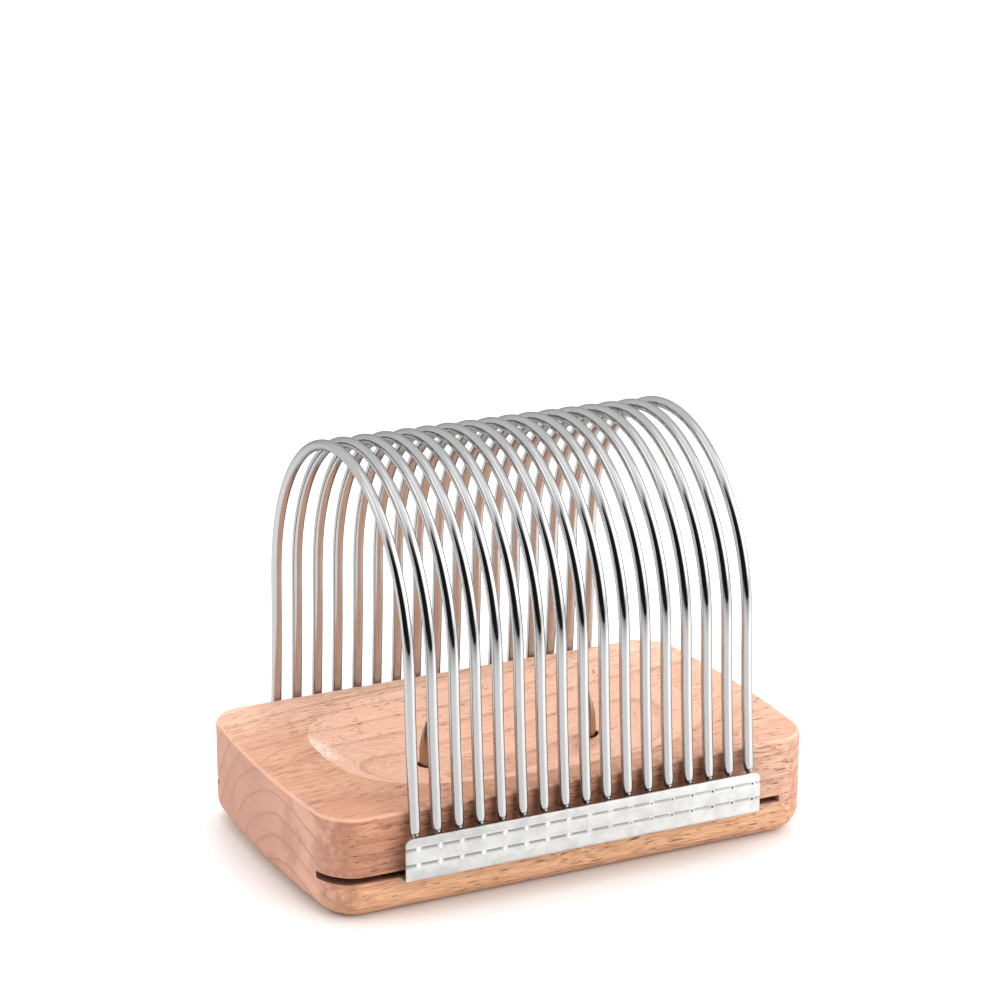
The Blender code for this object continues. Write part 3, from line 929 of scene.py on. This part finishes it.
def wireMaterial():
    finish, tree, shader = newMaterial("polishedWire", wire["roughness"], 1.0)
    place = addNode(tree, "ShaderNodeAttribute", attribute_name="wirePlace").outputs["Vector"]
    drawn = linesAlong(tree, inMillimetres(tree, place), 0.12, 9.0, 1.6)
    color = mixColor(tree, drawn["Lines"], [0.94 * part for part in wire["color"]], wire["color"])
    shader.inputs["Specular Tint"].default_value = (*wire["edgeTint"], 1.0)
    rough = timesPlus(tree, drawn["Patches"], 0.08, wire["roughness"] - 0.04)
    axes = axesOf(tree, millimetres(tree))
    facing = facingOf(tree)
    above = calc(tree, "MAXIMUM", minus(tree, axes["Z"], wire["springHeight"] * mm), 0.0)
    outward = timesPlus(tree, facing["Y"], axes["Y"], times(tree, facing["Z"], above))
    inner = smoothStep(tree, calc(tree, "DIVIDE", outward, firstHigh.y * mm), 0.05, -0.55)
    rough = timesPlus(tree, inner, wire["innerDull"], rough)
    setFinish(tree, shader, color, rough, drawn["Lines"], wire["relief"])
    return finish


makeWires(wireMaterial())
print("cage:", len(wires), "bent wires at a pitch of", round(wirePitch * mm, 2), "mm")


# Folded plates

plate = {
    "sheet": 0.0006,
    "bendRadius": 0.0003,
    "flangeIn": 0.0372,          # how far the flange's edge stands from the board's middle
    "cornerRadius": 0.0020,
    "edgeRound": 0.00008,
    "roundAngle": 50,
    "smoothAngle": 30,
    "bendSteps": 8,
    "cornerSteps": 12,
    "lowerRow": 0.0046,          # height of each row of marks above the plate's lower edge
    "upperRow": 0.0091,
    "dashGap": 0.0013,
    "dashHeight": 0.0011,
    "dashDepth": 0.00010,
    "spotRadius": 0.00034,
    "spotDepth": 0.00008,
    "seed": 11,
    "color": (0.77, 0.76, 0.74),
    "cloud": (0.60, 0.595, 0.585),
    # a painted highlight on each weld
    "bright": (0.97, 0.97, 0.96),
    # the dashes' tone: dull oxide with painted shade
    "pressed": (0.26, 0.26, 0.26),
    "darkPoint": (0.05, 0.05, 0.05),
    "glintFadeReach": (-20.0, 40.0),    # millimetres along the plate over which the welds' painted highlight gives way to a dark point
    "relief": 0.00003,
    "roughness": 0.36,
}


# The folded strip from its end: the upright outside, and the flange turned in to the groove
def plateSection():
    face = -plateLow.y
    sheet, bend = plate["sheet"], plate["bendRadius"]
    bendY, bendZ = face - sheet - bend, plateLow.z + sheet + bend
    turns = [math.pi / 2 * step / plate["bendSteps"] for step in range(plate["bendSteps"] + 1)]
    outer, inner = [[(bendY + radius * math.cos(turn), bendZ - radius * math.sin(turn)) for turn in turns]
                    for radius in (bend + sheet, bend)]
    edge = [(plate["flangeIn"], plateLow.z), (plate["flangeIn"], plateLow.z + sheet)]
    top = [(face - sheet, plateHigh.z), (face, plateHigh.z)]
    return outer + edge + inner[::-1] + top


def foldedStrip():
    data = bmesh.new()
    section = [data.verts.new((plateLow.x, -y, z)) for y, z in plateSection()]
    sweepFace(data, data.faces.new(section), (plateHigh.x - plateLow.x, 0.0, 0.0))
    corners = [edge for edge in data.edges if all(plateHigh.z - vert.co.z < nearZero for vert in edge.verts)
               and abs(edge.verts[0].co.x - edge.verts[1].co.x) < nearZero]
    bevelEdges(data, corners, plate["cornerRadius"], plate["cornerSteps"])
    return meshObject("foldedStrip", data)


# Presses two rows of dashes, with a round weld mark at each wire, in the plate's outer face
def markTree():
    tree, given, result = newGroup("weldMarks", "GeometryNodeTree",
                                   {"Geometry": "Geometry", "Wire Count": 17, "Pitch": 0.006, "Face": 0.0,
                                    "Lower Row": 0.0, "Upper Row": 0.0, "Dash Gap": 0.001,
                                    "Dash Height": 0.001, "Dash Depth": 0.0002, "Spot Radius": 0.0005,
                                    "Spot Depth": 0.0002, "Seed": 0, "Material": "Material"},
                                   {"Geometry": "Geometry"})
    gaps = minus(tree, given["Wire Count"], 1.0)
    firstWire = times(tree, times(tree, gaps, times(tree, given["Pitch"], 0.5)), -1.0)
    firstDash = timesPlus(tree, given["Pitch"], 0.5, firstWire)
    step = vectorOf(tree, given["Pitch"])
    dashLength = minus(tree, given["Pitch"], given["Dash Gap"])
    # A shallow dash is the cap of a long flat bar whose axis runs along the plate
    bar = addNode(tree, "GeometryNodeMeshCylinder", {"Vertices": 24, "Radius": 1.0, "Depth": 1.0})
    lying = addNode(tree, "GeometryNodeTransform",
                    {"Geometry": bar.outputs["Mesh"], "Rotation": (0.0, math.pi / 2, 0.0)})
    barSize = vectorOf(tree, dashLength, given["Dash Depth"], times(tree, given["Dash Height"], 0.5))
    dash = addNode(tree, "GeometryNodeTransform", {"Geometry": lying.outputs["Geometry"], "Scale": barSize})
    ball = addNode(tree, "GeometryNodeMeshUVSphere", {"Segments": 16, "Rings": 10, "Radius": 1.0})
    ballSize = vectorOf(tree, given["Spot Radius"], given["Spot Depth"], given["Spot Radius"])
    spot = addNode(tree, "GeometryNodeTransform", {"Geometry": ball.outputs["Mesh"], "Scale": ballSize})
    cutters = addNode(tree, "GeometryNodeJoinGeometry")
    for row in ("Lower Row", "Upper Row"):
        for shape, count, start in ((dash, gaps, firstDash), (spot, given["Wire Count"], firstWire)):
            line = rowOfPoints(tree, count, vectorOf(tree, start, given["Face"], given[row]), step)
            size = vectorOf(tree, 1.0, randomBetween(tree, 0.7, 1.15, given["Seed"]), 1.0)
            placed = addNode(tree, "GeometryNodeInstanceOnPoints",
                             {"Points": line, "Instance": shape.outputs["Geometry"], "Scale": size})
            tree.links.new(placed.outputs["Instances"], cutters.inputs["Geometry"])
    real = addNode(tree, "GeometryNodeRealizeInstances", {"Geometry": cutters.outputs["Geometry"]})
    pressed = addNode(tree, "GeometryNodeMeshBoolean",
                      {"Mesh 1": given["Geometry"], "Mesh 2": real.outputs["Geometry"],
                       "Self Intersection": True},
                      solver="EXACT", operation="DIFFERENCE")
    coated = addNode(tree, "GeometryNodeSetMaterial",
                     {"Geometry": pressed.outputs["Mesh"], "Material": given["Material"]})
    tree.links.new(coated.outputs["Geometry"], result["Geometry"])
    return tree


def makePlates(finish):
    strip = foldedStrip()
    roundEdges(strip, plate["edgeRound"], plate["roundAngle"])
    useTree(strip, markTree(), {
        "Wire Count": len(wires), "Pitch": wirePitch, "Face": plateLow.y,
        "Lower Row": plateLow.z + plate["lowerRow"], "Upper Row": plateLow.z + plate["upperRow"],
        "Dash Gap": plate["dashGap"], "Dash Height": plate["dashHeight"], "Dash Depth": plate["dashDepth"],
        "Spot Radius": plate["spotRadius"], "Spot Depth": plate["spotDepth"], "Seed": plate["seed"],
        "Material": finish})
    front = settled(strip, "front_strip")
    backMesh = front.data.copy()
    backMesh.transform(Matrix.Scale(-1.0, 4, (0.0, 1.0, 0.0)))
    backMesh.flip_normals()
    back = newObject("back_strip", backMesh)
    for made, node in ((front, "front_plate"), (back, "back_plate")):
        smoothShaded(made, plate["smoothAngle"])
        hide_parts(node)
        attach(made, "cage")


# At each weld a painted highlight, a bright cross, gives way to a dark point towards the plate's right. The
# dashes are darkened, partly as dull oxide and partly as painted shade.
def weldTone(tree, color, axes):
    turn = calc(tree, "DIVIDE", axes["X"], wirePitch * mm)
    offCentre = minus(tree, turn, calc(tree, "ROUND", turn))
    aside = times(tree, calc(tree, "ABSOLUTE", offCentre), wirePitch * mm)
    dashEnd = plate["dashGap"] / 2 * mm
    alongDash = smoothStep(tree, aside, dashEnd, dashEnd + 0.25)
    toRight = smoothStep(tree, axes["X"], *plate["glintFadeReach"])
    brightShare = timesPlus(tree, toRight, -0.75, 0.9)
    darkShare = times(tree, toRight, 0.95)
    dashShare = timesPlus(tree, toRight, -0.35, 0.9)
    for height in (plate["lowerRow"], plate["upperRow"]):
        above = minus(tree, axes["Z"], (plateLow.z + height) * mm)
        upDown = calc(tree, "ABSOLUTE", above)
        away = calc(tree, "SQRT", timesPlus(tree, aside, aside, times(tree, above, above)))
        # Painted shade with dull oxide in each dash, darkest near its upper edge
        band = times(tree, smoothStep(tree, above, -0.8, 0.3), smoothStep(tree, above, 0.62, 0.45))
        pressed = times(tree, alongDash, times(tree, band, dashShare))
        # A painted highlight, a bright cross, on each weld
        upright = times(tree, smoothStep(tree, aside, 0.26, 0.12), smoothStep(tree, upDown, 0.9, 0.55))
        level = times(tree, smoothStep(tree, aside, 0.7, 0.4), smoothStep(tree, upDown, 0.22, 0.1))
        cross = times(tree, calc(tree, "MAXIMUM", upright, level), brightShare)
        point = times(tree, smoothStep(tree, away, 0.44, 0.26), darkShare)
        for share, tone in ((pressed, "pressed"), (cross, "bright"), (point, "darkPoint")):
            color = mixColor(tree, share, color, plate[tone])
    return color


def plateMaterial():
    finish, tree, shader = newMaterial("satinSheet", plate["roughness"], 1.0)
    place = millimetres(tree)
    rolled = linesAlong(tree, place, 0.10, 14.0, 1.8)
    color = mixColor(tree, rolled["Lines"], [0.9 * part for part in plate["color"]], plate["color"])
    clouds = noiseAt(tree, place, 0.22, 4.0)[0]
    color = mixColor(tree, smoothStep(tree, clouds, 0.40, 0.62, 0.0, 0.75), color, plate["cloud"])
    color = weldTone(tree, color, axesOf(tree, place))
    rough = timesPlus(tree, rolled["Patches"], 0.14, plate["roughness"] - 0.07)
    waves = noiseAt(tree, place, 0.18, 1.0)[0]
    setFinish(tree, shader, color, rough, timesPlus(tree, waves, 6.0, rolled["Lines"]), plate["relief"])
    return finish


makePlates(plateMaterial())
print("plates: two folded strips with their pressed dashes and weld marks")


# Spikes

spike = {
    "point": 0.0098,
    "tipRadius": 0.0003,
    "chamfer": 0.0003,
    "steps": 56,
    "pointSteps": 28,
    "smoothAngle": 35,
    "relief": 0.00001,
    "color": (0.40, 0.31, 0.24),
    "roughness": 0.34,
}


# A straight shank under a pointed arch, from the blunt tip down to its seat
def makeSpike(node, finish):
    low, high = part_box(node)
    radius, length = (high.x - low.x) / 2, spike["point"]
    sweep = (radius ** 2 + length ** 2) / (2 * radius)
    profile = [(0.0, high.z), (spike["tipRadius"], high.z - spike["tipRadius"] / 2)]
    for step in range(1, spike["pointSteps"] + 1):
        drop = length * step / spike["pointSteps"]
        width = math.sqrt(sweep ** 2 - (length - drop) ** 2) + radius - sweep
        if width > spike["tipRadius"]:
            profile.append((width, high.z - drop))
    profile += [(radius, low.z + spike["chamfer"]), (radius - spike["chamfer"], low.z), (0.0, low.z)]
    made = turnedMesh(node + "_pin", profile, spike["steps"])
    made.data.transform(Matrix.Translation(((low.x + high.x) / 2, 0.0, 0.0)))
    smoothShaded(made, spike["smoothAngle"])
    made.data.materials.append(finish)
    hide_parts(node)
    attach(made, "base")


def spikeMaterial():
    finish, tree, shader = newMaterial("groundSpike", spike["roughness"], 1.0)
    ground = linesAlong(tree, millimetres(tree), 0.25, 0.5, 1.5)
    color = mixColor(tree, ground["Lines"], [0.9 * part for part in spike["color"]], spike["color"])
    rough = timesPlus(tree, ground["Lines"], 0.12, spike["roughness"] - 0.06)
    setFinish(tree, shader, color, rough, ground["Lines"], spike["relief"])
    return finish


spikeFinish = spikeMaterial()
for node in ("spike_left", "spike_right"):
    makeSpike(node, spikeFinish)
print("spikes: two turned pins")
